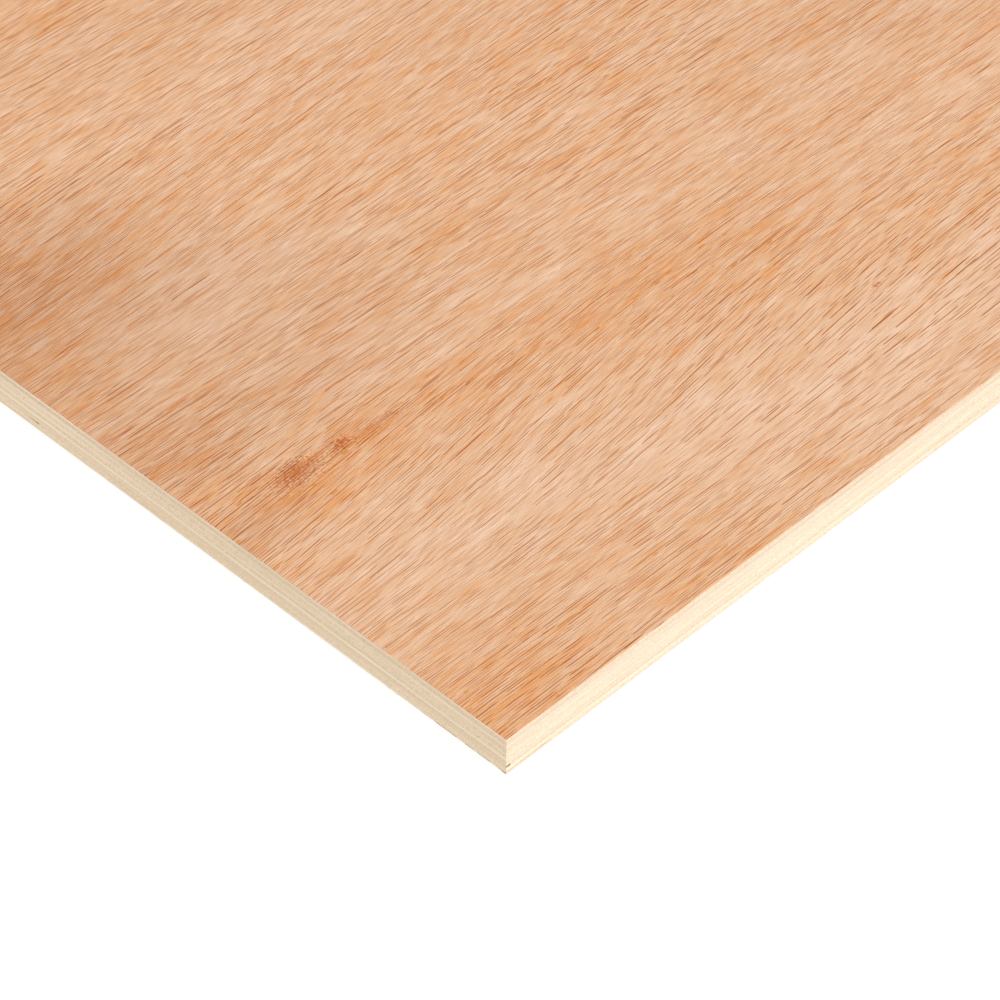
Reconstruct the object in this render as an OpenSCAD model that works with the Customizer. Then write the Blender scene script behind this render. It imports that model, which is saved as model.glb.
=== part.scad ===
// Plywood sheet: thin rotary-cut veneers glued face to face, the grain of each ply square to
// that of the plies above and below it. The sheet lies flat with its face up. Its underside is
// at Z = 0, centred on the origin, and its length and the grain of its face run along X.

/* [Sheet] */
// Length of the sheet, along the grain of its face (mm)
sheet_length = 2440; // [600:1:3660]
// Width of the sheet, across the grain of its face (mm)
sheet_width = 1220; // [300:1:1830]

/* [Plies] */
// Thickness of the sanded face veneer (mm)
face_veneer_t = 0.35; // [0.2:0.05:3]
// Thickness of the sanded back veneer (mm)
back_veneer_t = 0.35; // [0.2:0.05:3]
// Thickness of a crossband, a ply whose grain runs across the sheet (mm)
crossband_t = 1.3; // [0.8:0.05:4]
// Thickness of a core ply, a ply whose grain runs along the sheet (mm)
core_ply_t = 1.9; // [0.8:0.05:4]
// Number of core plies, each of which lies between two crossbands
core_ply_count = 5; // [1:1:9]

/* [Hidden] */
// Layup from the face down: face veneer, crossband 1, core ply 1, crossband 2, and so on to the
// last crossband and the back veneer. A crossband lies outside every core ply, so the layup is
// the same read from either side and the sheet stays flat as its moisture changes.
crossband_count = core_ply_count + 1;
pair_t = crossband_t + core_ply_t;
core_t = core_ply_count * pair_t + crossband_t;
sheet_t = back_veneer_t + core_t + face_veneer_t;

// Height of the upper side of the crossband or core ply with this number, counted from the face
function crossband_top(number) = sheet_t - face_veneer_t - (number - 1) * pair_t;
function core_ply_top(number) = crossband_top(number) - crossband_t;

function crossband_name(number) = str("crossband_", number);
function core_ply_name(number) = str("core_ply_", number);

// One ply of the full size of the sheet, squared by the saw on all four edges
module ply(thickness, top) {
    translate([-sheet_length / 2, -sheet_width / 2, top - thickness])
        cube([sheet_length, sheet_width, thickness]);
}

// Red-brown tropical hardwood, the side that is put on show
module face_veneer() {
    color([0.87, 0.68, 0.52]) ply(face_veneer_t, sheet_t);
}

// Pale softer hardwood with its grain across the sheet
module crossband(number) {
    color([0.93, 0.85, 0.72]) ply(crossband_t, crossband_top(number));
}

// Pale softer hardwood with its grain along the sheet
module core_ply(number) {
    color([0.87, 0.78, 0.65]) ply(core_ply_t, core_ply_top(number));
}

// Red-brown tropical hardwood, the side that the sheet lies on
module back_veneer() {
    color([0.80, 0.60, 0.44]) ply(back_veneer_t, back_veneer_t);
}

face_veneer();
for (number = [1 : crossband_count])
    crossband(number);
for (number = [1 : core_ply_count])
    core_ply(number);
back_veneer();
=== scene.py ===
"""Dresses a plywood sheet that lies flat with its face up.

Thirteen leaves of veneer stand for the thirteen plies. Each is modelled over its ply with sawn edges
that waver and chip as real ones do. The face leaf carries a sanded reddish hardwood figure with fine
pore lines, and near its corner that figure also holds painted light and painted shade. The leaves
between are pale, and the back leaf is a plainer, darker grade. The camera and the lamps are those
of a plain studio picture of one corner.
"""

from __future__ import annotations

import logging
import math
import random
from collections.abc import Callable
from dataclasses import dataclass
from enum import Enum

import bmesh
import bpy
import numpy as np
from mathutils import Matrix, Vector, noise

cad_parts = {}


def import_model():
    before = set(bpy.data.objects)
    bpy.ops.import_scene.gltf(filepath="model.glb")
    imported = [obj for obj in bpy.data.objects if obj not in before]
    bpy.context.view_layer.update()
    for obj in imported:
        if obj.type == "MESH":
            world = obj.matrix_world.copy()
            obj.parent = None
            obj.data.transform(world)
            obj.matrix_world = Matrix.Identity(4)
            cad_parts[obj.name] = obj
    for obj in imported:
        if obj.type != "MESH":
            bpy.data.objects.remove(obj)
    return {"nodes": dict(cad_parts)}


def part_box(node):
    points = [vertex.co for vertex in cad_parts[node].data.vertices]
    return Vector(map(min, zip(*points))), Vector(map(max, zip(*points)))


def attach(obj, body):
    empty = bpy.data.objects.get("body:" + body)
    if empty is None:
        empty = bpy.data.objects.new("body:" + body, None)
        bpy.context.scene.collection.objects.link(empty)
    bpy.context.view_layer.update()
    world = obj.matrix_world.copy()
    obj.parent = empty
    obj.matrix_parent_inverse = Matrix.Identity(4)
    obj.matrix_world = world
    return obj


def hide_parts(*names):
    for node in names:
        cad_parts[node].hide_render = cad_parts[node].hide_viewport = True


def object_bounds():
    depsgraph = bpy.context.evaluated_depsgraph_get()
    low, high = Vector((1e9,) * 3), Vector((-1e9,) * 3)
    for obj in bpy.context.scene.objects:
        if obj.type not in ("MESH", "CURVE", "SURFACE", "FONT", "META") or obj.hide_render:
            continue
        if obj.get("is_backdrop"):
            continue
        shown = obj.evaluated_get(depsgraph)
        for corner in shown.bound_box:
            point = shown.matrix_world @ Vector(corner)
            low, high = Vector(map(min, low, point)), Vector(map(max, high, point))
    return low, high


# A millimetre in metres, and a hair's breadth in millimetres.
MM = 0.001
HAIR = 0.01
# A face faces along an axis where more than this share of its normal does.
FACING = 0.7
# An edge runs along an axis where more than this share of its length does.
RUNNING = 0.9
# How noise gets finer: the fall of its strength, the step in size and the number of octaves.
FRACTAL = (1.0, 2.0, 2)
# The value of the noise at which a displaced point stays where it is.
ONE_WAY = 0.0
BOTH_WAYS = 0.5
BODY = "root"
LOG = logging.getLogger("plywood_sheet")

Colour = tuple[float, float, float]
Pair = tuple[float, float]
Triple = tuple[float, float, float]
Feed = bpy.types.NodeSocket | float | Triple

ORIGIN: Triple = (0.0, 0.0, 0.0)
ONES: Triple = (1.0, 1.0, 1.0)


class Side(Enum):
    """The four edges of the sheet: the axis that each faces, and the sign of its outward direction."""

    FRONT = (1, -1)
    BACK = (1, 1)
    LEFT = (0, -1)
    RIGHT = (0, 1)

    @property
    def axis(self) -> int:
        """The axis that the edge faces: 0 for X, 1 for Y."""
        return self.value[0]

    @property
    def sign(self) -> int:
        """The sign of the edge's outward direction."""
        return self.value[1]


class Grain(Enum):
    """Which way a leaf's fibres run, and the axis that the edges face where they show from the side."""

    ALONG = 1
    ACROSS = 0


def srgb(red: int, green: int, blue: int) -> Colour:
    """A colour given as on a screen, 0 to 255, as the linear light that shaders use.

    Args:
        red, green, blue: the screen's values.

    Returns:
        The linear colour.
    """

    def linear(value: int) -> float:
        """One channel made linear."""
        share = value / 255
        return share / 12.92 if share <= 0.04045 else ((share + 0.055) / 1.055) ** 2.4

    return linear(red), linear(green), linear(blue)


class Shading:
    """Adds nodes to one shader tree and joins them."""

    def __init__(self, tree: bpy.types.NodeTree) -> None:
        """Works on this tree.

        Args:
            tree: the material's or the group's node tree.
        """
        self.tree = tree

    def add(self, kind: str, **settings: object) -> bpy.types.Node:
        """Adds a node.

        Args:
            kind: the node's type, without the ShaderNode that they all start with.
            settings: values for the node's own properties.

        Returns:
            The new node.
        """
        node = self.tree.nodes.new(f"ShaderNode{kind}")
        for name, value in settings.items():
            setattr(node, name, value)
        return node

    def feed(self, socket: bpy.types.NodeSocket, value: Feed) -> None:
        """Joins a socket to another one, or sets its own value.

        Args:
            socket: the input to feed.
            value: an output socket, a number or a vector.
        """
        if isinstance(value, bpy.types.NodeSocket):
            self.tree.links.new(value, socket)
        else:
            socket.default_value = value

    def math(self, operation: str, *values: Feed, clamp: bool = False) -> bpy.types.NodeSocket:
        """A Math node.

        Args:
            operation: what it does.
            values: what goes into it, in order.
            clamp: whether its result is kept between 0 and 1.

        Returns:
            Its result.
        """
        node = self.add("Math", operation=operation, use_clamp=clamp)
        for socket, value in zip(node.inputs, values):
            self.feed(socket, value)
        return node.outputs[0]

    def vector(self, operation: str, *values: Feed) -> bpy.types.NodeSocket:
        """A Vector Math node whose result is a vector.

        Args:
            operation: what it does.
            values: what goes into it, in order.

        Returns:
            Its vector.
        """
        node = self.add("VectorMath", operation=operation)
        for socket, value in zip(node.inputs, values):
            self.feed(socket, value)
        return node.outputs["Vector"]

    def split(self, value: Feed) -> tuple[bpy.types.NodeSocket, ...]:
        """The X, Y and Z of a vector.

        Args:
            value: the vector.

        Returns:
            The three sockets.
        """
        node = self.add("SeparateXYZ")
        self.feed(node.inputs[0], value)
        return tuple(node.outputs)

    def combine(self, x: Feed, y: Feed, z: Feed = 0.0) -> bpy.types.NodeSocket:
        """A vector of three numbers.

        Args:
            x, y, z: the numbers.

        Returns:
            The vector's socket.
        """
        node = self.add("CombineXYZ")
        for socket, value in zip(node.inputs, (x, y, z)):
            self.feed(socket, value)
        return node.outputs[0]

    def ramp(self, value: Feed, start: float, end: float) -> bpy.types.NodeSocket:
        """A smooth step from 0 to 1.

        Args:
            value: what is read.
            start, end: where the step begins and ends.

        Returns:
            The stepped value.
        """
        node = self.add("MapRange", interpolation_type="SMOOTHSTEP")
        for socket, given in zip(node.inputs, (value, start, end)):
            self.feed(socket, given)
        return node.outputs[0]

    def mix(self, share: Feed, first: Feed, second: Feed, blend: str = "MIX") -> bpy.types.NodeSocket:
        """Two colours mixed.

        Args:
            share: how much of the second colour there is.
            first, second: the colours, each a socket or linear red, green and blue.
            blend: how the second is laid on the first.

        Returns:
            The mixed colour.
        """
        node = self.add("Mix", data_type="RGBA", blend_type=blend, clamp_factor=True)
        self.feed(node.inputs[0], share)
        for socket, colour in ((node.inputs[6], first), (node.inputs[7], second)):
            self.feed(socket, (*colour, 1.0) if isinstance(colour, tuple) else colour)
        return node.outputs[2]

    def stain(self, colour: Feed, tint: Feed) -> bpy.types.NodeSocket:
        """A colour times a tint."""
        return self.mix(1.0, colour, tint, "MULTIPLY")

    def place(self, group: bpy.types.NodeTree, **inputs: Feed) -> bpy.types.NodeSocket:
        """Places a node group.

        Args:
            group: the group.
            inputs: what feeds each of its inputs, by name.

        Returns:
            The group's output.
        """
        node = self.add("Group")
        node.node_tree = group
        for name, value in inputs.items():
            self.feed(node.inputs[name], value)
        return node.outputs[0]


class Effect(Shading):
    """A shader node group that several finishes share."""

    KINDS = {float: "NodeSocketFloat", tuple: "NodeSocketVector"}

    def __init__(self, name: str, **defaults: float | Triple) -> None:
        """Starts the group.

        Args:
            name: the group's name.
            defaults: its inputs by name, each with its usual value.
        """
        super().__init__(bpy.data.node_groups.new(name, "ShaderNodeTree"))
        for title, value in defaults.items():
            kind = self.KINDS[type(value)]
            socket = self.tree.interface.new_socket(title, in_out="INPUT", socket_type=kind)
            socket.default_value = value
        self.inputs = self.tree.nodes.new("NodeGroupInput").outputs

    def counted(self, title: str) -> bpy.types.NodeSocket:
        """The place in the flow, counted in cells and moved by the seed.

        Args:
            title: the input that says how large a cell is, in millimetres.

        Returns:
            The place.
        """
        per_mm = self.vector("DIVIDE", ONES, self.inputs[title])
        return self.vector("MULTIPLY_ADD", self.inputs["Flow"], per_mm, self.inputs["Seed"])

    def close(self, title: str, source: bpy.types.NodeSocket) -> bpy.types.NodeTree:
        """Ends the group.

        Args:
            title: the name of its output.
            source: what it puts out.

        Returns:
            The finished group.
        """
        self.tree.interface.new_socket(title, in_out="OUTPUT", socket_type="NodeSocketFloat")
        self.tree.links.new(source, self.tree.nodes.new("NodeGroupOutput").inputs[title])
        return self.tree


@dataclass(frozen=True)
class PoreForm:
    """The form that all pore lines share.

    Each row of cells is staggered by a share of a cell. A line's half length is counted in cells and
    its half width in blurs, and each runs from its least by its span. A line half shows where its luck
    is the share of cells that hold one.
    """

    stagger: float = 0.618
    looseness: float = 0.5
    least_length: float = 0.25
    length_span: float = 0.5
    taper: float = 4.0
    least_width: float = 0.97
    width_span: float = 0.6
    half_shown: float = 0.5


@dataclass(frozen=True)
class WoodEffects:
    """The node groups that the wood finishes share, whose flow is in millimetres along and across."""

    pores: bpy.types.NodeTree
    fibres: bpy.types.NodeTree

    @classmethod
    def build(cls) -> WoodEffects:
        """Builds the groups."""
        return cls(cls.build_pores(PoreForm()), cls.build_fibres())

    @staticmethod
    def build_pores(form: PoreForm) -> bpy.types.NodeTree:
        """Pores cut lengthwise, which show as short lines along the grain, one to a cell at most.

        The rows of cells are staggered, so that the ends of the lines don't fall into columns.

        Args:
            form: the form of the lines.

        Returns:
            The group.
        """
        effect = Effect(
            "pore_lines",
            Flow=ORIGIN,
            Cell=(12.0, 1.5, 1.0),
            Blur=0.1,
            Share=0.5,
            Contrast=1.5,
            Seed=ORIGIN,
        )
        column, row, _ = effect.split(effect.counted("Cell"))
        shift = effect.math("MULTIPLY", effect.math("FLOOR", row), form.stagger)
        spot = effect.combine(effect.math("ADD", column, shift), row)
        cells = effect.add("TexVoronoi", voronoi_dimensions="2D", feature="F1")
        effect.feed(cells.inputs["Vector"], spot)
        effect.feed(cells.inputs["Scale"], 1.0)
        effect.feed(cells.inputs["Randomness"], form.looseness)
        away = effect.vector("ABSOLUTE", effect.vector("SUBTRACT", spot, cells.outputs["Position"]))
        along, across, _ = effect.split(away)
        luck, reach, depth = effect.split(cells.outputs["Color"])
        length = effect.math("MULTIPLY_ADD", reach, form.length_span, form.least_length)
        ends = effect.math("MULTIPLY", effect.math("SUBTRACT", length, along), form.taper, clamp=True)
        _, cell_width, _ = effect.split(effect.inputs["Cell"])
        blur = effect.math("DIVIDE", effect.inputs["Blur"], cell_width)
        width = effect.math("MULTIPLY_ADD", depth, form.width_span, form.least_width)
        edges = effect.math("SUBTRACT", width, effect.math("DIVIDE", across, blur), clamp=True)
        odds = effect.math("SUBTRACT", effect.inputs["Share"], luck)
        contrast = effect.inputs["Contrast"]
        there = effect.math("MULTIPLY_ADD", odds, contrast, form.half_shown, clamp=True)
        line = effect.math("MULTIPLY", effect.math("MULTIPLY", ends, edges), there)
        return effect.close("Lines", line)

    @staticmethod
    def build_fibres(spread: float = 4.0) -> bpy.types.NodeTree:
        """Fine light and dark streaks along the fibres, from about -1 to 1.

        Args:
            spread: how far the noise, which runs around a half, is spread.

        Returns:
            The group.
        """
        effect = Effect("fibre_streaks", Flow=ORIGIN, Streak=(24.0, 0.6, 1.0), Seed=ORIGIN)
        clouds = effect.add("TexNoise", noise_dimensions="3D")
        effect.feed(clouds.inputs["Vector"], effect.counted("Streak"))
        effect.feed(clouds.inputs["Scale"], 1.0)
        effect.feed(clouds.inputs["Detail"], 1.0)
        streaks = effect.math("MULTIPLY_ADD", clouds.outputs["Fac"], spread, -spread / 2)
        return effect.close("Streaks", streaks)


@dataclass(frozen=True)
class WoodSurface:
    """How a finish takes the light: its roughness, what its pores add to that, its gloss and its bumps.

    The height of the bumps is in millimetres.
    """

    roughness: float
    pore_roughness: float
    gloss: float
    bump: float
    bump_height: float


SANDED = WoodSurface(0.62, 0.18, 0.25, 0.3, 0.03)
SAWN = WoodSurface(0.72, 0.18, 0.2, 0.4, 0.05)


class WoodShading(Shading):
    """The material of one wood finish, which measures in millimetres from the near corner."""

    def __init__(self, name: str, effects: WoodEffects, corner: Vector) -> None:
        """Starts the material.

        Args:
            name: the material's name.
            effects: the shared node groups.
            corner: the near corner of the sheet, in metres.
        """
        self.material = bpy.data.materials.new(name)
        self.material.use_nodes = True
        super().__init__(self.material.node_tree)
        self.effects = effects
        coordinates = self.add("TexCoord").outputs["Object"]
        shift = tuple(-value / MM for value in corner)
        self.spot = self.vector("MULTIPLY_ADD", coordinates, (1 / MM, 1 / MM, 1 / MM), shift)

    def painted(self, name: str) -> bpy.types.NodeSocket:
        """A value that is painted on the leaf's points."""
        return self.add("Attribute", attribute_name=name).outputs["Fac"]

    def streaks(self, flow: Feed, size: Triple, seed: Triple) -> bpy.types.NodeSocket:
        """Streaks of one size, in millimetres, from about -1 to 1."""
        return self.place(self.effects.fibres, Flow=flow, Streak=size, Seed=seed)

    def pores(self, flow: Feed, share: Feed, kind: PoreKind) -> bpy.types.NodeSocket:
        """One kind of pore line.

        Args:
            flow: millimetres along and across the fibres.
            share: how many of the cells hold a line.
            kind: the kind.

        Returns:
            How much of a line shows.
        """
        line = self.place(
            self.effects.pores,
            Flow=flow,
            Cell=kind.cell,
            Blur=kind.blur,
            Share=self.math("ADD", share, kind.extra),
            Contrast=kind.contrast,
            Seed=kind.seed,
        )
        return self.math("MULTIPLY", line, kind.strength)

    def feed_shader(
        self, surface: WoodSurface, colour: Feed, pores: Feed, height: Feed
    ) -> bpy.types.Material:
        """Feeds the material's shader.

        Args:
            surface: how the finish takes the light.
            colour: its colour.
            pores: how much of a pore shows.
            height: its bumps.

        Returns:
            The finished material.
        """
        shader = self.tree.nodes["Principled BSDF"]
        roughness = self.math("MULTIPLY_ADD", pores, surface.pore_roughness, surface.roughness)
        self.feed(shader.inputs["Base Color"], colour)
        self.feed(shader.inputs["Roughness"], roughness)
        shader.inputs["Specular IOR Level"].default_value = surface.gloss
        bump = self.add("Bump")
        bump.inputs["Strength"].default_value = surface.bump
        bump.inputs["Distance"].default_value = surface.bump_height * MM
        self.feed(bump.inputs["Height"], height)
        self.feed(shader.inputs["Normal"], bump.outputs["Normal"])
        return self.material


@dataclass(frozen=True)
class FigurePatch:
    """A patch of a leaf's figure, in millimetres from the near corner.

    Heat runs from -1, a pale cream with few pore lines, to 1, a deep orange with many. Shade runs
    from 0 to 1, a dull brown. Besides the wood's figure, the patches paint light: their pale cream is
    partly painted light and their shade partly painted shade.
    """

    along: float
    across: float
    half_length: float
    half_width: float
    heat: float
    # Shade darkens the patch: partly dull wood, partly painted shade.
    shade: float = 0.0


# The face's patches: its figure, with painted light and painted shade laid in. The leaf is painted
# paler and creamier near the front long edge, where the light falls, and darker, as painted shade, far
# up the left edge.
FACE_FIGURE_AND_PAINTED_LIGHT = (
    FigurePatch(30, 300, 120, 80, 0.45, 0.80),
    FigurePatch(0, 225, 60, 110, 0.20, 0.25),
    FigurePatch(70, 205, 160, 80, -0.05, 0.35),
    FigurePatch(88, 252, 75, 42, -0.35, 0.25),
    FigurePatch(165, 205, 40, 20, 0.20),
    FigurePatch(25, 184, 130, 22, 0.25, 0.15),
    FigurePatch(35, 145, 130, 30, 0.55),
    FigurePatch(5, 138, 40, 18, 0.00, 0.50),
    FigurePatch(50, 108, 50, 18, -0.20),
    FigurePatch(185, 132, 150, 36, 0.40),
    FigurePatch(255, 112, 80, 30, 0.30),
    FigurePatch(85, 74, 170, 32, -0.40),
    FigurePatch(150, 58, 80, 28, -0.30),
    FigurePatch(240, 38, 170, 52, -0.50),
    FigurePatch(8, 6, 70, 46, 0.65),
    FigurePatch(100, 4, 90, 22, 0.20),
)


@dataclass(frozen=True)
class Knot:
    """A small reddish knot, or its tail, in millimetres from the near corner."""

    along: float
    across: float
    half_length: float
    half_width: float
    strength: float


FACE_KNOTS = (
    Knot(40, 148, 19, 10, 0.9),
    Knot(63, 148, 9, 5, 1.0),
    Knot(79, 146, 26, 6, 0.35),
    Knot(271, 66, 4, 2, 0.9),
    Knot(690, 430, 12, 6, 0.9),
    Knot(1180, 1040, 15, 8, 0.8),
    Knot(1560, 700, 8, 5, 0.9),
    Knot(2040, 310, 16, 9, 0.9),
)


class Layer(Enum):
    """The layers of noise in a leaf's figure, each with what it adds to the leaf's seed."""

    DRIFT = 0
    RIPPLE = 5
    BANDS = 10
    CLOUDS = 20
    WOBBLE_ALONG = 40
    SHADE = 50
    WOBBLE_ACROSS = 60


@dataclass(frozen=True)
class LeafFigure:
    """The broad figure of a leaf, painted on its points: how its grain sways, and where it is warm.

    Lengths are in millimetres, and each layer's grid is along and across the fibres. Out to the calm
    reach from the near corner the leaf has its first unrest, and past the fade its far one. Where the
    patches carry them, the heat is partly painted light and the shade partly painted shade.
    """

    seed: float
    unrest: float
    far_unrest: float
    slope: float
    patches: tuple[FigurePatch, ...]
    swing_along: float = 1400.0
    swing_across: float = 185.0
    steepest_along: float = 210.0
    steepest_across: float = 120.0
    drift_reach: float = 1200.0
    drift_grid: Pair = (900.0, 300.0)
    ripple: float = 0.3
    ripple_grid: Pair = (20.0, 12.0)
    calm_reach: float = 330.0
    calm_fade: float = 250.0
    band_grid: Pair = (1900.0, 60.0)
    cloud_grid: Pair = (520.0, 42.0)
    shade_grid: Pair = (1300.0, 90.0)
    wobble: Pair = (14.0, 8.0)
    wobble_grid: Pair = (34.0, 20.0)

    def paint(self, leaf: bpy.types.Object, corner: Vector) -> None:
        """Paints the sway, heat and shade attributes, with painted light and shade in the last two.

        Args:
            leaf: the leaf's object.
            corner: the near corner of the sheet, from which the figure is measured.
        """
        sways = []
        heats_and_painted_light = []
        dullness_and_painted_shades = []
        for vertex in leaf.data.vertices:
            along, across, _ = (vertex.co - corner) / MM
            sway = self.sway(along, across)
            # Where the patches carry them, the heat is partly painted light and the shade partly
            # painted shade.
            heat, shade = self.look(along, across, across + sway)
            sways.append(sway)
            heats_and_painted_light.append(heat)
            dullness_and_painted_shades.append(shade)
        for name, values in (("sway", sways), ("leaf_heat_and_painted_light", heats_and_painted_light), ("leaf_dullness_and_painted_shade", dullness_and_painted_shades)):
            leaf.data.attributes.new(name, "FLOAT", "POINT").data.foreach_set("value", values)

    def spot(self, along: float, across: float, grid: Pair, layer: Layer) -> Vector:
        """Where a layer of noise is read for a place on the leaf."""
        return Vector((along / grid[0], across / grid[1], self.seed + layer.value))

    def sway(self, along: float, across: float) -> float:
        """How far the fibres at a place have strayed across the leaf, in millimetres.

        Args:
            along, across: the place.

        Returns:
            The distance.
        """
        far = min(1.0, math.hypot(along, across) / self.drift_reach)
        drift = far * noise.noise(self.spot(along, across, self.drift_grid, Layer.DRIFT))
        turn_along = math.tau * ((along - self.steepest_along) / self.swing_along + drift)
        turn_across = math.tau * ((across - self.steepest_across) / self.swing_across + drift)
        steepness = self.slope * (0.5 + 0.5 * math.cos(turn_across))
        ripple = self.ripple * noise.noise(self.spot(along, across, self.ripple_grid, Layer.RIPPLE))
        return ripple - steepness * self.swing_along / math.tau * math.sin(turn_along)

    def look(self, along: float, across: float, fibre: float) -> tuple[float, float]:
        """How warm and how dull the leaf is at a place, with the patches' painted light and shade.

        Args:
            along, across: the place.
            fibre: which fibre runs there, by its place across the leaf where the grain is straight.

        Returns:
            The heat, from about -1 to 1, and the shade, from 0 to about 1.
        """
        beyond = math.hypot(along, across) - self.calm_reach
        far = min(1.0, max(0.0, beyond / self.calm_fade))
        unrest = self.unrest + (self.far_unrest - self.unrest) * far
        bands = noise.fractal(self.spot(along, fibre, self.band_grid, Layer.BANDS), *FRACTAL)
        clouds = noise.fractal(self.spot(along, fibre, self.cloud_grid, Layer.CLOUDS), *FRACTAL)
        heat = (bands + clouds) * unrest
        dull = noise.noise(self.spot(along, fibre, self.shade_grid, Layer.SHADE))
        shade = far * max(0.0, dull)
        wobble_along, wobble_across = (
            reach * noise.noise(self.spot(along, across, self.wobble_grid, layer))
            for reach, layer in zip(self.wobble, (Layer.WOBBLE_ALONG, Layer.WOBBLE_ACROSS))
        )
        # The patches add painted light and shade: paler cream near the front long edge, darker far up
        # the left edge.
        for patch in self.patches:
            off_along = (along + wobble_along - patch.along) / patch.half_length
            off_across = (across + wobble_across - patch.across) / patch.half_width
            near = max(0.0, 1.0 - math.hypot(off_along, off_across))
            weight = near * near * (3 - 2 * near)
            heat += patch.heat * weight
            shade += patch.shade * weight
        return heat, shade


@dataclass(frozen=True)
class PoreKind:
    """One kind of pore line: the cell that holds one, how far its edges blur, how many and how dark.

    The cell and the blur are in millimetres, and a line is one to two blurs wide. Extra is added to the
    share of cells that hold a line. A high contrast leaves few lines half dark.
    """

    cell: Triple
    blur: float
    extra: float
    contrast: float
    strength: float
    seed: Triple


FINE_PORES = PoreKind((14.0, 1.00, 1.0), 0.155, 0.0, 1.2, 1.00, (3.7, 8.1, 0.0))
BOLD_PORES = PoreKind((26.0, 2.30, 1.0), 0.165, -0.12, 1.8, 1.00, (11.3, 4.9, 0.0))
FLECKS = PoreKind((4.0, 10.0, 1.0), 0.4, -0.61, 8.0, 0.9, (31.4, 2.6, 0.0))


@dataclass(frozen=True)
class FibreKind:
    """One kind of streak along the fibres: its size on each axis, in millimetres, and its weight."""

    size: Triple
    weight: float
    seed: Triple


WIDE_FLAMES = FibreKind((28.0, 5.5, 1.0), 0.54, (2.0, 8.0, 0.0))
THIN_FLAMES = FibreKind((12.0, 1.8, 1.0), 0.46, (6.0, 1.0, 0.0))
SHORT_FIBRES = FibreKind((9.0, 0.42, 1.0), 0.1, (17.0, 3.0, 0.0))
SANDED_FUZZ = FibreKind((0.6, 0.45, 1.0), 0.12, (1.0, 2.0, 0.0))
KNOT_SPECKS = FibreKind((1.3, 0.9, 1.0), 0.55, (7.0, 6.0, 0.0))


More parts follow.
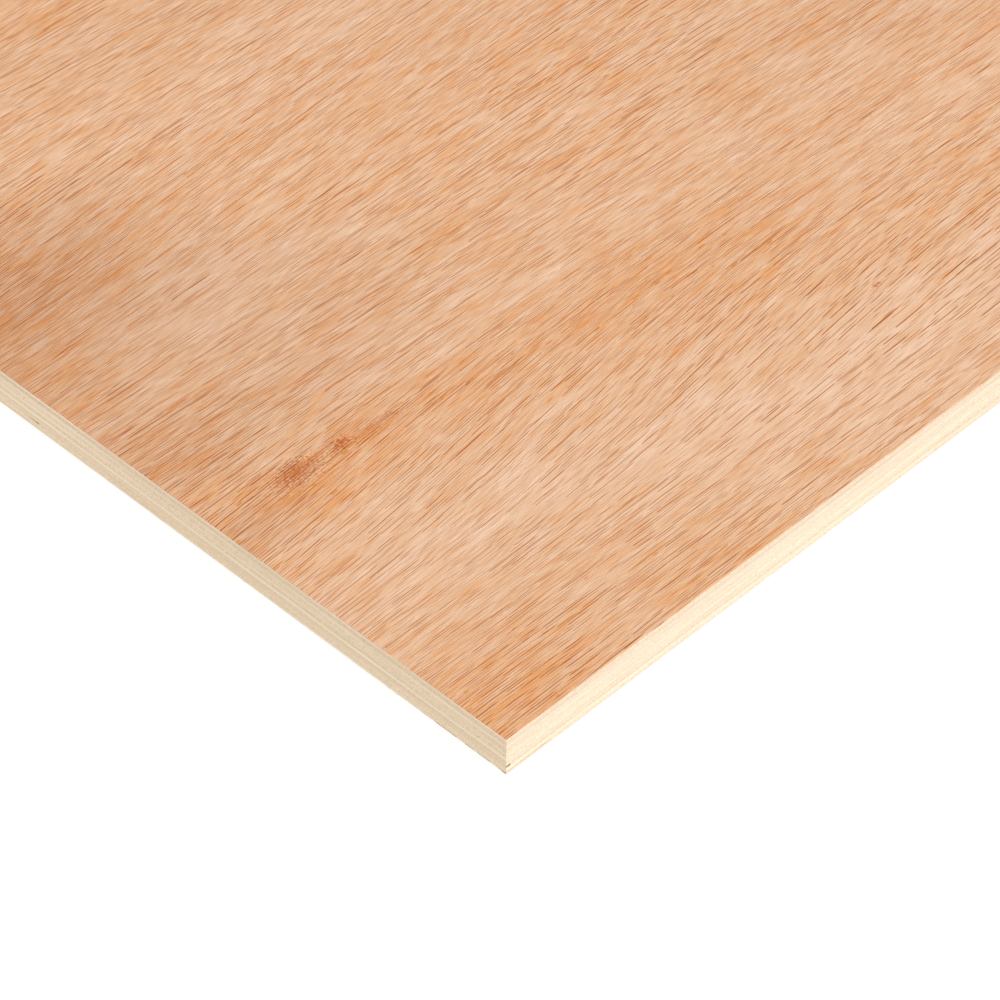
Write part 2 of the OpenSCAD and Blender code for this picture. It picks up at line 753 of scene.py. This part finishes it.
@dataclass(frozen=True)
class LeafFace:
    """The finish of a sanded hardwood leaf: its ground, its pore lines and its knots."""

    name: str
    colour: Colour
    pore_tint: Colour
    pore_share: float
    knots: tuple[Knot, ...] = ()
    warm_tint: Colour = (0.98, 0.75, 0.49)
    cream_tint: Colour = (1.08, 1.21, 1.42)
    # The tint of dull wood, which also paints shade.
    dullness_and_painted_shade_tint: Colour = (0.78, 0.76, 0.78)
    knot_tint: Colour = (0.70, 0.38, 0.19)
    fleck: Colour = srgb(222, 142, 52)
    share_per_heat: float = 0.30
    knot_rim: float = 0.8

    def build(self, effects: WoodEffects, corner: Vector) -> bpy.types.Material:
        """Builds the material.

        Args:
            effects: the shared node groups.
            corner: the near corner of the sheet, from which the figure is measured.

        Returns:
            The material.
        """
        wood = WoodShading(self.name, effects, corner)
        flow = wood.vector("ADD", wood.spot, wood.combine(0.0, wood.painted("sway")))
        # The painted heat, partly painted light near the corner.
        broad = wood.painted("leaf_heat_and_painted_light")
        heat = self.heat(wood, flow, broad)
        share = wood.math("MULTIPLY_ADD", broad, self.share_per_heat, self.pore_share)
        fine = wood.pores(flow, share, FINE_PORES)
        bold = wood.pores(flow, share, BOLD_PORES)
        lines = wood.math("MAXIMUM", fine, bold)
        fibres = wood.streaks(flow, SHORT_FIBRES.size, SHORT_FIBRES.seed)
        colour = wood.stain(self.ground(wood, heat), self.fuzz(wood, fibres))
        colour = self.add_knots(wood, colour)
        colour = wood.mix(wood.pores(flow, share, FLECKS), colour, self.fleck)
        colour = wood.mix(lines, colour, wood.stain(colour, self.pore_tint))
        return wood.feed_shader(SANDED, colour, lines, fibres)

    @staticmethod
    def heat(wood: WoodShading, flow: Feed, broad: Feed) -> bpy.types.NodeSocket:
        """How warm the wood is: the figure painted on the leaf, with flames of two sizes on it.

        Args:
            wood: the material.
            flow: millimetres along and across the fibres.
            broad: the heat of the figure that is painted on the leaf.

        Returns:
            The heat, from -1 to 1.
        """
        heat = broad
        for kind in (WIDE_FLAMES, THIN_FLAMES):
            flames = wood.streaks(flow, kind.size, kind.seed)
            heat = wood.math("MULTIPLY_ADD", flames, kind.weight, heat)
        return heat

    def ground(self, wood: WoodShading, heat: Feed) -> bpy.types.NodeSocket:
        """The colour between the pores, with the leaf's painted light and painted shade in it.

        Args:
            wood: the material.
            heat: from -1, cream, to 1, orange.

        Returns:
            The colour.
        """
        # The heat's cream is partly painted light, and the shade below partly painted shade.
        colour = wood.mix(heat, self.colour, self.tinted(self.warm_tint))
        colour = wood.mix(wood.math("MULTIPLY", heat, -1.0), colour, self.tinted(self.cream_tint))
        return wood.mix(wood.painted("leaf_dullness_and_painted_shade"), colour, wood.stain(colour, self.dullness_and_painted_shade_tint))

    def tinted(self, tint: Colour) -> Colour:
        """The ground's colour times a tint."""
        red, green, blue = (value * share for value, share in zip(self.colour, tint))
        return red, green, blue

    @staticmethod
    def fuzz(wood: WoodShading, fibres: Feed) -> bpy.types.NodeSocket:
        """Light and dark fibres, and the fuzz of the sanded surface, as a share of the colour.

        Args:
            wood: the material.
            fibres: the short streaks.

        Returns:
            The share, around 1.
        """
        fuzz = wood.streaks(wood.spot, SANDED_FUZZ.size, SANDED_FUZZ.seed)
        total = wood.math("MULTIPLY_ADD", fibres, SHORT_FIBRES.weight, 1.0)
        return wood.math("MULTIPLY_ADD", fuzz, SANDED_FUZZ.weight, total)

    def add_knots(self, wood: WoodShading, colour: bpy.types.NodeSocket) -> bpy.types.NodeSocket:
        """The colour with the leaf's knots in it, which are made of fine reddish specks.

        Args:
            wood: the material.
            colour: the colour without them.

        Returns:
            The colour with them.
        """
        specks = wood.streaks(wood.spot, KNOT_SPECKS.size, KNOT_SPECKS.seed)
        tinted = wood.stain(colour, self.knot_tint)
        for knot in self.knots:
            scale = (1 / knot.half_length, 1 / knot.half_width, 0.0)
            shift = (-knot.along / knot.half_length, -knot.across / knot.half_width, 0.0)
            off = wood.add("VectorMath", operation="LENGTH")
            wood.feed(off.inputs[0], wood.vector("MULTIPLY_ADD", wood.spot, scale, shift))
            inside = wood.math("SUBTRACT", self.knot_rim, off.outputs["Value"])
            near = wood.math("MULTIPLY_ADD", specks, KNOT_SPECKS.weight, inside)
            seen = wood.math("MULTIPLY", wood.ramp(near, 0.0, self.knot_rim), knot.strength)
            colour = wood.mix(seen, colour, tinted)
        return colour


@dataclass(frozen=True)
class SawnEdge:
    """The finish of a pale leaf's sawn edge, where the fibres show from the side or from their ends.

    Streaks, broad patches and small specks, in millimetres, dim its colour around the middle. Specks
    past the pores' start show as pores.
    """

    colour: Colour
    shade: Colour
    streak: Triple
    contrast: float
    pore_contrast: float
    middle: float = 0.5
    patch: Triple = (160.0, 160.0, 4.0)
    patch_contrast: float = 0.3
    speck: Triple = (0.5, 0.5, 0.4)
    speck_contrast: float = 0.7
    pore_start: float = 0.55
    pore_end: float = 1.1
    pore_tint: Colour = (0.55, 0.45, 0.36)

    def build(
        self, name: str, lift: float, seed: Triple, effects: WoodEffects, corner: Vector
    ) -> bpy.types.Material:
        """Builds the material of one leaf's edge.

        Args:
            name: the material's name.
            lift: how much lighter than usual the leaf is.
            seed: what makes this leaf differ from the others.
            effects: the shared node groups.
            corner: the near corner of the sheet.

        Returns:
            The material.
        """
        wood = WoodShading(name, effects, corner)
        streaks = wood.streaks(wood.spot, self.streak, seed)
        patches = wood.streaks(wood.spot, self.patch, seed)
        specks = wood.streaks(wood.spot, self.speck, seed)
        pores = wood.ramp(specks, self.pore_start, self.pore_end)
        dim = wood.math("MULTIPLY_ADD", streaks, self.contrast, self.middle)
        dim = wood.math("MULTIPLY_ADD", specks, self.speck_contrast, dim)
        dim = wood.math("MULTIPLY_ADD", patches, self.patch_contrast, dim, clamp=True)
        colour = wood.mix(dim, self.lifted(self.colour, lift), self.lifted(self.shade, lift))
        dark = wood.stain(colour, self.pore_tint)
        colour = wood.mix(wood.math("MULTIPLY", pores, self.pore_contrast), colour, dark)
        return wood.feed_shader(SAWN, colour, pores, wood.math("SUBTRACT", streaks, pores))

    @staticmethod
    def lifted(tone: Colour, lift: float) -> Colour:
        """A tone made lighter, but no lighter than white."""
        red, green, blue = (min(1.0, lift * channel) for channel in tone)
        return red, green, blue


class Pick(Enum):
    """What is selected in edit mode."""

    FACES = "FACE"
    EDGES = "EDGE"


class EditBench:
    """Works on one mesh with the operators of edit mode."""

    def __init__(self, piece: bpy.types.Object) -> None:
        """Takes a piece, which is the active object.

        Args:
            piece: the mesh object to work on.
        """
        self.piece = piece

    @classmethod
    def plate(cls, name: str, low: Vector, high: Vector) -> EditBench:
        """Adds a flat plate that covers the top of a box.

        Args:
            name: the new piece's name.
            low, high: the box's corners.

        Returns:
            A bench with the plate on it, at the origin, unturned and unscaled.
        """
        size = high - low
        middle = (low + high) / 2
        bpy.ops.object.select_all(action="DESELECT")
        bpy.ops.mesh.primitive_plane_add(size=1.0, location=(middle.x, middle.y, high.z))
        piece = bpy.context.active_object
        piece.name = name
        piece.data.name = name
        piece.scale = (size.x, size.y, 1.0)
        bpy.ops.object.transform_apply(location=True, rotation=True, scale=True)
        return cls(piece)

    def __enter__(self) -> EditBench:
        """Goes into edit mode."""
        bpy.ops.object.mode_set(mode="EDIT")
        return self

    def __exit__(self, *reason: object) -> None:
        """Leaves edit mode."""
        bpy.ops.object.mode_set(mode="OBJECT")

    def pick(self, kind: Pick, test: Callable[..., bool]) -> int:
        """Selects the faces or the edges that pass a test, and no others.

        Args:
            kind: which of the two.
            test: says whether one of them is taken.

        Returns:
            How many were selected.
        """
        bpy.ops.mesh.select_mode(type=kind.value)
        bpy.ops.mesh.select_all(action="DESELECT")
        mesh = bmesh.from_edit_mesh(self.piece.data)
        parts = mesh.faces if kind is Pick.FACES else mesh.edges
        taken = [part for part in parts if test(part)]
        for part in taken:
            part.select_set(True)
        bmesh.update_edit_mesh(self.piece.data)
        return len(taken)

    def bisect(self, axis: int, level: float) -> None:
        """Cuts the whole mesh across an axis.

        Args:
            axis: the axis.
            level: where it is cut.
        """
        point = [0.0, 0.0, 0.0]
        point[axis] = level
        normal = [0.0, 0.0, 0.0]
        normal[axis] = 1.0
        bpy.ops.mesh.select_all(action="SELECT")
        bpy.ops.mesh.bisect(plane_co=point, plane_no=normal)

    def cut_edges(
        self, axis: int, pitch: float, start: float, end: float, border: bool = False
    ) -> None:
        """Cuts edges that run along an axis into short, even lengths.

        Args:
            axis: the axis that the edges run along.
            pitch: how long each part is, about.
            start, end: the stretch of the axis in which edges are cut.
            border: whether only edges at the border of the plate are cut.
        """

        def taken(edge: bmesh.types.BMEdge) -> bool:
            """Whether the edge is cut.

            Args:
                edge: an edge of the plate.

            Returns:
                Whether it runs along the axis in the stretch, and at the border if only that is cut.
            """
            first, second = (vert.co for vert in edge.verts)
            run = second - first
            middle = (first[axis] + second[axis]) / 2
            along = abs(run[axis]) > RUNNING * run.length
            return along and start < middle < end and (edge.is_boundary or not border)

        if not self.pick(Pick.EDGES, taken):
            return
        mesh = bmesh.from_edit_mesh(self.piece.data)
        length = next(edge.calc_length() for edge in mesh.edges if edge.select)
        parts = round(length / pitch)
        if parts > 1:
            bpy.ops.mesh.subdivide(number_cuts=parts - 1)


@dataclass(frozen=True)
class Flaw:
    """A small hollow in the sawn edge of one leaf.

    Its start and end are measured from the near corner and its depth from the edge, in millimetres. Its
    bottom and top are shares of the leaf's thickness.
    """

    node: str
    side: Side
    start: float
    end: float
    bottom: float
    top: float
    depth: float


FLAWS = (
    Flaw("crossband_5", Side.FRONT, 0.5, 2.5, 0.0, 0.7, 2.5),
    Flaw("crossband_6", Side.FRONT, 0.0, 20.0, 0.66, 1.0, 0.5),
    Flaw("crossband_6", Side.LEFT, 0.0, 5.0, 0.0, 0.34, 1.2),
    Flaw("crossband_6", Side.LEFT, 8.0, 15.0, 0.0, 0.34, 1.2),
    Flaw("crossband_6", Side.LEFT, 17.0, 21.0, 0.0, 0.34, 1.0),
    Flaw("crossband_6", Side.LEFT, 24.0, 34.0, 0.0, 0.34, 1.2),
    Flaw("crossband_5", Side.LEFT, 249.0, 254.0, 0.0, 0.34, 1.0),
)


@dataclass(frozen=True)
class Roughness:
    """How uneven a leaf's sawn edges are, and the patches of each unevenness, in millimetres.

    Points within the arris and its margin go with the sawn edge.
    """

    saw: float
    waver: float
    chip: float = 0.0
    arris: float = 0.0
    saw_grid: Triple = (2.5, 2.5, 0.9)
    waver_grid: Triple = (90.0, 90.0, 0.5)
    chip_grid: Triple = (14.0, 900.0, 900.0)
    arris_margin: float = 1.2


@dataclass
class Leaf:
    """One leaf of veneer, modelled over its ply. Its cells and its border are cut in millimetres."""

    node: str
    slot: str
    grain: Grain
    roughness: Roughness
    sheet_low: Vector
    sheet_high: Vector
    cell: float = 61.0
    border: float = 2.0
    rows: int = 3
    near_cell: float = 61.0
    near_reach: float = 366.0
    smooth_angle: float = 30.0

    def __post_init__(self) -> None:
        """Reads the place of the leaf from the frame."""
        self.low, self.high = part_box(self.node)

    def build(self) -> bpy.types.Object:
        """Models the leaf.

        Returns:
            The leaf's object.
        """
        bench = EditBench.plate(f"{self.node}_leaf", self.low, self.high)
        with bench:
            self.cut_plate(bench)
        self.thicken(bench.piece)
        with bench:
            row = (self.high.z - self.low.z) / self.rows
            bench.cut_edges(2, row, self.low.z, self.high.z)
            self.ease_arris(bench)
            self.sink_flaws(bench)
        self.roughen(bench.piece)
        bpy.ops.object.shade_smooth_by_angle(angle=math.radians(self.smooth_angle))
        return bench.piece

    def cut_plate(self, bench: EditBench) -> None:
        """Cuts the plate into cells, finer near the near corner, and its border into short lengths.

        Args:
            bench: the bench with the plate on it.
        """
        for axis in (0, 1):
            near_end = self.low[axis] + self.near_reach * MM
            bench.bisect(axis, near_end)
            bench.cut_edges(axis, self.near_cell * MM, self.low[axis], near_end)
            bench.cut_edges(axis, self.cell * MM, near_end, self.high[axis])
        for axis in (0, 1):
            near_end = self.low[axis] + self.near_reach * MM
            bench.cut_edges(axis, self.border * MM, self.low[axis], near_end, border=True)
            bench.cut_edges(axis, self.border * MM, near_end, self.high[axis], border=True)

    def thicken(self, leaf: bpy.types.Object) -> None:
        """Gives the plate the leaf's thickness, downwards.

        Args:
            leaf: the leaf's object.
        """
        modifier = leaf.modifiers.new("thickness", "SOLIDIFY")
        modifier.thickness = self.high.z - self.low.z
        modifier.offset = -1.0
        bpy.ops.object.modifier_apply(modifier=modifier.name)

    def ease_arris(self, bench: EditBench) -> None:
        """Sands the sharp corner off the leaf's outer face, if it has one.

        Args:
            bench: the bench with the leaf on it.
        """
        if not self.roughness.arris:
            return
        is_face = self.high.z > self.sheet_high.z - HAIR * MM
        level = self.high.z if is_face else self.low.z

        def outer(edge: bmesh.types.BMEdge) -> bool:
            """Whether the edge is where the outer face meets a sawn edge."""
            upright = [abs(face.normal.z) < FACING for face in edge.link_faces]
            return any(upright) and not all(upright) and abs(edge.verts[0].co.z - level) < HAIR * MM

        bench.pick(Pick.EDGES, outer)
        bpy.ops.mesh.bevel(offset=self.roughness.arris * MM, segments=1)

    def sink_flaws(self, bench: EditBench) -> None:
        """Sinks the small hollows of this leaf's sawn edges.

        Args:
            bench: the bench with the leaf on it.
        """
        for flaw in FLAWS:
            if flaw.node != self.node:
                continue
            axis, sign = flaw.side.axis, flaw.side.sign
            run = 1 - axis

            def in_mouth(face: bmesh.types.BMFace) -> bool:
                """Whether the face lies in the hollow's mouth.

                Args:
                    face: a face of the leaf.

                Returns:
                    Whether it faces out on the flaw's side, with its middle in the flaw's bounds.
                """
                middle = face.calc_center_median()
                share = (middle.z - self.low.z) / (self.high.z - self.low.z)
                place = (middle[run] - self.low[run]) / MM
                faces_out = face.normal[axis] * sign > FACING
                return faces_out and flaw.start < place < flaw.end and flaw.bottom < share < flaw.top

            if bench.pick(Pick.FACES, in_mouth):
                step = [0.0, 0.0, 0.0]
                step[axis] = -sign * flaw.depth * MM
                bpy.ops.mesh.extrude_region_move(TRANSFORM_OT_translate={"value": step})

    def roughen(self, leaf: bpy.types.Object) -> None:
        """Wavers the glue lines up and down, and roughens the sawn edges, always inwards.

        Args:
            leaf: the leaf's object.
        """
        places = np.empty(len(leaf.data.vertices) * 3, np.float32)
        leaf.data.vertices.foreach_get("co", places)
        places = places.reshape(-1, 3)
        rough = self.roughness
        glued = self.group(leaf, "glue_lines", self.on_glue_line(places))
        self.displace(leaf, glued, "Z", rough.waver, BOTH_WAYS, rough.waver_grid)
        for side in Side:
            edge = (self.high if side.sign > 0 else self.low)[side.axis]
            near = np.abs(places[:, side.axis] - edge) < (rough.arris_margin * rough.arris + HAIR) * MM
            ring = self.group(leaf, f"edge_{side.name.lower()}", near)
            direction = "XY"[side.axis]
            self.displace(leaf, ring, direction, -side.sign * rough.saw, ONE_WAY, rough.saw_grid)
            if rough.chip and side.axis == self.grain.value:
                self.displace(leaf, ring, direction, -side.sign * rough.chip, ONE_WAY, rough.chip_grid)

    def on_glue_line(self, places: np.ndarray) -> np.ndarray:
        """Which points lie where two plies meet at the sawn edge.

        Args:
            places: the leaf's points.

        Returns:
            True for each that does.
        """
        hair = HAIR * MM
        height = places[:, 2]
        inside = (height > self.sheet_low.z + hair) & (height < self.sheet_high.z - hair)
        level = (np.abs(height - self.low.z) < hair) | (np.abs(height - self.high.z) < hair)
        at_x = (np.abs(places[:, 0] - self.low.x) < hair) | (np.abs(places[:, 0] - self.high.x) < hair)
        at_y = (np.abs(places[:, 1] - self.low.y) < hair) | (np.abs(places[:, 1] - self.high.y) < hair)
        return inside & level & (at_x | at_y)

    @staticmethod
    def group(leaf: bpy.types.Object, name: str, taken: np.ndarray) -> str:
        """Makes a vertex group of some points.

        Applying a modifier makes the leaf's groups anew, so a group is known by its name.

        Args:
            leaf: the leaf's object.
            name: the group's name.
            taken: True for each point that is in it.

        Returns:
            The group's name.
        """
        group = leaf.vertex_groups.new(name=name)
        group.add(np.flatnonzero(taken).tolist(), 1.0, "REPLACE")
        return group.name

    @staticmethod
    def displace(
        leaf: bpy.types.Object,
        group: str,
        direction: str,
        reach: float,
        middle: float,
        grid: Triple,
    ) -> None:
        """Moves some points by soft noise, and applies that.

        Args:
            leaf: the leaf's object.
            group: the name of the group of points.
            direction: the axis that they move along.
            reach: how far they move, in millimetres.
            middle: the value of the noise at which they stay.
            grid: the size of the noise's patches along each axis, in millimetres.
        """
        ruler = bpy.data.objects.new("ruler", None)
        bpy.context.scene.collection.objects.link(ruler)
        ruler.scale = tuple(size * MM for size in grid)
        bpy.context.view_layer.update()
        clouds = bpy.data.textures.new("waver", "CLOUDS")
        clouds.noise_scale = 1.0
        modifier = leaf.modifiers.new("waver", "DISPLACE")
        modifier.texture = clouds
        modifier.texture_coords = "OBJECT"
        modifier.texture_coords_object = ruler
        modifier.direction = direction
        modifier.strength = reach * MM
        modifier.mid_level = middle
        modifier.vertex_group = group
        bpy.ops.object.modifier_apply(modifier=modifier.name)
        bpy.data.textures.remove(clouds)
        bpy.data.objects.remove(ruler)

    def dress(
        self,
        leaf: bpy.types.Object,
        broad: bpy.types.Material,
        side_on: bpy.types.Material,
        end_on: bpy.types.Material,
    ) -> None:
        """Gives the leaf its finishes, and its place in the record and the frame.

        Args:
            leaf: the leaf's object.
            broad: the finish of its two broad faces.
            side_on: the finish of the edges where the fibres show from the side.
            end_on: the finish of the edges where they show from their ends.
        """
        for material in (broad, side_on, end_on):
            leaf.data.materials.append(material)
        normals = np.empty(len(leaf.data.polygons) * 3, np.float32)
        leaf.data.polygons.foreach_get("normal", normals)
        across_x, across_y, up = np.abs(normals.reshape(-1, 3)).T
        facing = np.where(across_x > across_y, 0, 1)
        slots = np.where(up > FACING, 0, np.where(facing == self.grain.value, 1, 2))
        leaf.data.polygons.foreach_set("material_index", slots.astype(np.int32))
        leaf.vertex_groups.clear()
        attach(leaf, BODY)
        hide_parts(self.node)
        LOG.info("%s: %d faces", leaf.name, len(leaf.data.polygons))


FACE_FINISH = LeafFace(
    name="sanded_face",
    colour=srgb(240, 193, 153),
    pore_tint=(0.53, 0.20, 0.01),
    pore_share=0.63,
    knots=FACE_KNOTS,
)
BACK_FINISH = LeafFace(
    name="plain_back",
    colour=srgb(214, 166, 130),
    pore_tint=(0.42, 0.22, 0.10),
    pore_share=0.75,
)
LONG_GRAIN = SawnEdge(srgb(254, 233, 205), srgb(234, 210, 180), (40.0, 40.0, 0.4), 0.7, 0.1)
END_GRAIN = SawnEdge(srgb(254, 231, 202), srgb(228, 204, 172), (1.2, 1.2, 0.6), 0.3, 0.3)

LEAF_LIFTS = {
    "crossband_1": 1.02,
    "core_ply_1": 0.93,
    "crossband_2": 1.02,
    "core_ply_2": 0.99,
    "crossband_3": 1.02,
    "core_ply_3": 1.00,
    "crossband_4": 1.11,
    "core_ply_4": 1.00,
    "crossband_5": 0.96,
    "core_ply_5": 1.05,
    "crossband_6": 1.05,
}

# The face's figure, with painted light and painted shade in its patches.
FACE_BROAD_FIGURE_AND_PAINTED_LIGHT = LeafFigure(3.0, unrest=0.15, far_unrest=0.6, slope=0.09, patches=FACE_FIGURE_AND_PAINTED_LIGHT)
BACK_BROAD_FIGURE = LeafFigure(8.0, unrest=0.7, far_unrest=0.7, slope=0.08, patches=())

FACE_ROUGHNESS = Roughness(saw=0.1, waver=0.2, chip=0.3, arris=0.12)
BACK_ROUGHNESS = Roughness(saw=0.4, waver=0.2, chip=0.3, arris=0.12)
INNER_ROUGHNESS = Roughness(saw=0.08, waver=0.2)

OUTER_LEAVES = {
    "face_veneer": (FACE_FINISH, FACE_BROAD_FIGURE_AND_PAINTED_LIGHT, FACE_ROUGHNESS),
    "back_veneer": (BACK_FINISH, BACK_BROAD_FIGURE, BACK_ROUGHNESS),
}


@dataclass
class PlySheet:
    """The sheet: a face leaf, a back leaf, and crossbands and core leaves by turns between them."""

    low: Vector
    high: Vector
    nodes: list[str]
    seed: int = 7
    seed_span: float = 90.0

    def build(self) -> None:
        """Builds and dresses every leaf."""
        self.effects = WoodEffects.build()
        seeds = random.Random(self.seed)
        span = (0.0, self.seed_span)
        for node in self.nodes:
            slot = node.rstrip("0123456789").rstrip("_")
            if slot in OUTER_LEAVES:
                self.build_outer(node, slot)
            else:
                grain = Grain.ACROSS if slot == "crossband" else Grain.ALONG
                seed = (seeds.uniform(*span), seeds.uniform(*span), seeds.uniform(*span))
                self.build_inner(node, slot, grain, seed)

    def build_outer(self, node: str, slot: str) -> None:
        """Builds the sanded face leaf or the plain back leaf.

        Args:
            node: the ply's node.
            slot: its material slot.
        """
        finish, figure, roughness = OUTER_LEAVES[slot]
        leaf = Leaf(
            node,
            slot,
            Grain.ALONG,
            roughness,
            self.low,
            self.high,
            cell=21.0,
            border=1.0,
            rows=1,
            near_cell=5.0,
        )
        piece = leaf.build()
        figure.paint(piece, self.low)
        material = finish.build(self.effects, self.low)
        leaf.dress(piece, material, material, material)

    def build_inner(self, node: str, slot: str, grain: Grain, seed: Triple) -> None:
        """Builds one of the pale leaves between the face and the back.

        Args:
            node: the ply's node.
            slot: its material slot.
            grain: which way its fibres run.
            seed: what makes it differ from the others.
        """
        leaf = Leaf(node, slot, grain, INNER_ROUGHNESS, self.low, self.high)
        piece = leaf.build()
        lift = LEAF_LIFTS[node]
        side_on = LONG_GRAIN.build(f"{node}_long_grain", lift, seed, self.effects, self.low)
        end_on = END_GRAIN.build(f"{node}_end_grain", lift, seed, self.effects, self.low)
        leaf.dress(piece, side_on, side_on, end_on)


@dataclass
class Studio:
    """A white floor, an even sky, one soft lamp and the camera.

    The floor reaches under the sheet by its lap, in millimetres. Its size and the camera's place are in
    metres, and angles in degrees.
    """

    corner: Vector
    far_corner: Vector
    floor_size: float = 80.0
    floor_lap: float = 2.0
    floor_bounce: Colour = (0.9, 0.9, 0.9)
    floor_seen: Colour = (0.22, 0.22, 0.22)
    floor_glow: float = 0.82
    sky_light: Colour = (0.77, 0.76, 0.735)
    sky_seen: Colour = (1.0, 1.0, 1.0)
    lamp_colour: Colour = (0.95, 1.0, 1.15)
    lamp_strength: float = 1.27
    lamp_spread: float = 30.0
    lamp_height: float = 28.0
    lamp_heading: float = 85.0
    camera_offset: Triple = (-0.6278, -0.6184, 0.9786)
    camera_heading: float = 44.71
    camera_pitch: float = 43.86
    focal_pixels: float = 3802.0
    picture_pixels: float = 1000.0
    sensor_width: float = 36.0
    nearest: float = 0.05
    farthest: float = 200.0

    def build(self) -> None:
        """Sets up the whole studio."""
        self.build_floor()
        self.build_sky()
        self.build_lamp()
        self.build_camera()
        bpy.context.scene.view_settings.view_transform = "Standard"

    def under_sheet(self, face: bmesh.types.BMFace) -> bool:
        """Whether the middle of a face of the floor lies under the sheet."""
        middle = face.calc_center_median()
        return all(self.corner[axis] < middle[axis] < self.far_corner[axis] for axis in (0, 1))

    @staticmethod
    def looked_at(shading: Shading) -> bpy.types.NodeSocket:
        """Whether a ray comes from the camera, straight or by way of gloss or glass.

        Args:
            shading: the tree that asks.

        Returns:
            1 for such a ray, else 0.
        """
        path = shading.add("LightPath").outputs
        direct = shading.math("MAXIMUM", path["Is Camera Ray"], path["Is Glossy Ray"])
        return shading.math("MAXIMUM", direct, path["Is Transmission Ray"])

    def build_floor(self) -> None:
        """Lays a white floor that shows a faint shadow and vanishes from below.

        It is open under the sheet, so that the underside gets the sky's light in a view from below.
        """
        bpy.ops.object.select_all(action="DESELECT")
        level = self.corner.z - HAIR * MM
        bpy.ops.mesh.primitive_plane_add(size=self.floor_size, location=(0.0, 0.0, level))
        floor = bpy.context.active_object
        floor.name = "floor"
        bpy.ops.object.transform_apply(location=True, rotation=True, scale=True)
        with EditBench(floor) as bench:
            for axis in (0, 1):
                bench.bisect(axis, self.corner[axis] + self.floor_lap * MM)
                bench.bisect(axis, self.far_corner[axis] - self.floor_lap * MM)
            bench.pick(Pick.FACES, self.under_sheet)
            bpy.ops.mesh.delete(type="FACE")
        material = bpy.data.materials.new("white_floor")
        material.use_nodes = True
        material.node_tree.nodes.clear()
        shading = Shading(material.node_tree)
        bounce = shading.add("BsdfDiffuse")
        bounce.inputs["Color"].default_value = (*self.floor_bounce, 1.0)
        shaded = shading.add("BsdfDiffuse")
        shaded.inputs["Color"].default_value = (*self.floor_seen, 1.0)
        glow = shading.add("Emission")
        glow.inputs["Strength"].default_value = self.floor_glow
        seen = shading.add("AddShader")
        shading.feed(seen.inputs[0], shaded.outputs[0])
        shading.feed(seen.inputs[1], glow.outputs[0])
        either = shading.add("MixShader")
        shading.feed(either.inputs[0], self.looked_at(shading))
        shading.feed(either.inputs[1], bounce.outputs[0])
        shading.feed(either.inputs[2], seen.outputs[0])
        beneath = shading.add("MixShader")
        shading.feed(beneath.inputs[0], shading.add("NewGeometry").outputs["Backfacing"])
        shading.feed(beneath.inputs[1], either.outputs[0])
        shading.feed(beneath.inputs[2], shading.add("BsdfTransparent").outputs[0])
        shading.feed(shading.add("OutputMaterial").inputs["Surface"], beneath.outputs[0])
        floor.data.materials.append(material)
        floor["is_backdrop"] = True

    def build_sky(self) -> None:
        """Fills the studio with even light, and shows white behind everything."""
        world = bpy.data.worlds.new("studio_sky")
        world.use_nodes = True
        bpy.context.scene.world = world
        shading = Shading(world.node_tree)
        background = world.node_tree.nodes["Background"]
        colour = shading.mix(self.looked_at(shading), self.sky_light, self.sky_seen)
        shading.feed(background.inputs["Color"], colour)

    def build_lamp(self) -> None:
        """Hangs one wide, soft lamp in front of the sheet's long edge."""
        data = bpy.data.lights.new("soft_lamp", "SUN")
        data.energy = self.lamp_strength
        data.color = self.lamp_colour
        data.angle = math.radians(self.lamp_spread)
        lamp = bpy.data.objects.new("soft_lamp", data)
        bpy.context.scene.collection.objects.link(lamp)
        height = math.radians(self.lamp_height)
        heading = math.radians(self.lamp_heading)
        level = math.cos(height)
        towards = Vector((math.cos(heading) * level, math.sin(heading) * level, -math.sin(height)))
        lamp.rotation_euler = towards.to_track_quat("-Z", "Y").to_euler()

    def build_camera(self) -> None:
        """Looks down on the near corner as the photograph does."""
        data = bpy.data.cameras.new("camera")
        data.sensor_width = self.sensor_width
        data.lens = self.sensor_width * self.focal_pixels / self.picture_pixels
        data.clip_start = self.nearest
        data.clip_end = self.farthest
        camera = bpy.data.objects.new("camera", data)
        bpy.context.scene.collection.objects.link(camera)
        camera.location = self.corner + Vector(self.camera_offset)
        tilt = math.radians(90.0 - self.camera_pitch)
        turn = math.radians(self.camera_heading - 90.0)
        camera.rotation_euler = (tilt, 0.0, turn)
        bpy.context.scene.camera = camera


def main() -> None:
    """Loads the frame, builds the leaves and sets up the studio."""
    logging.basicConfig(level=logging.INFO, format="%(name)s %(message)s")
    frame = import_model()
    low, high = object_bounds()
    PlySheet(low, high, sorted(frame["nodes"])).build()
    Studio(low, high).build()


if __name__ == "__main__":
    main()
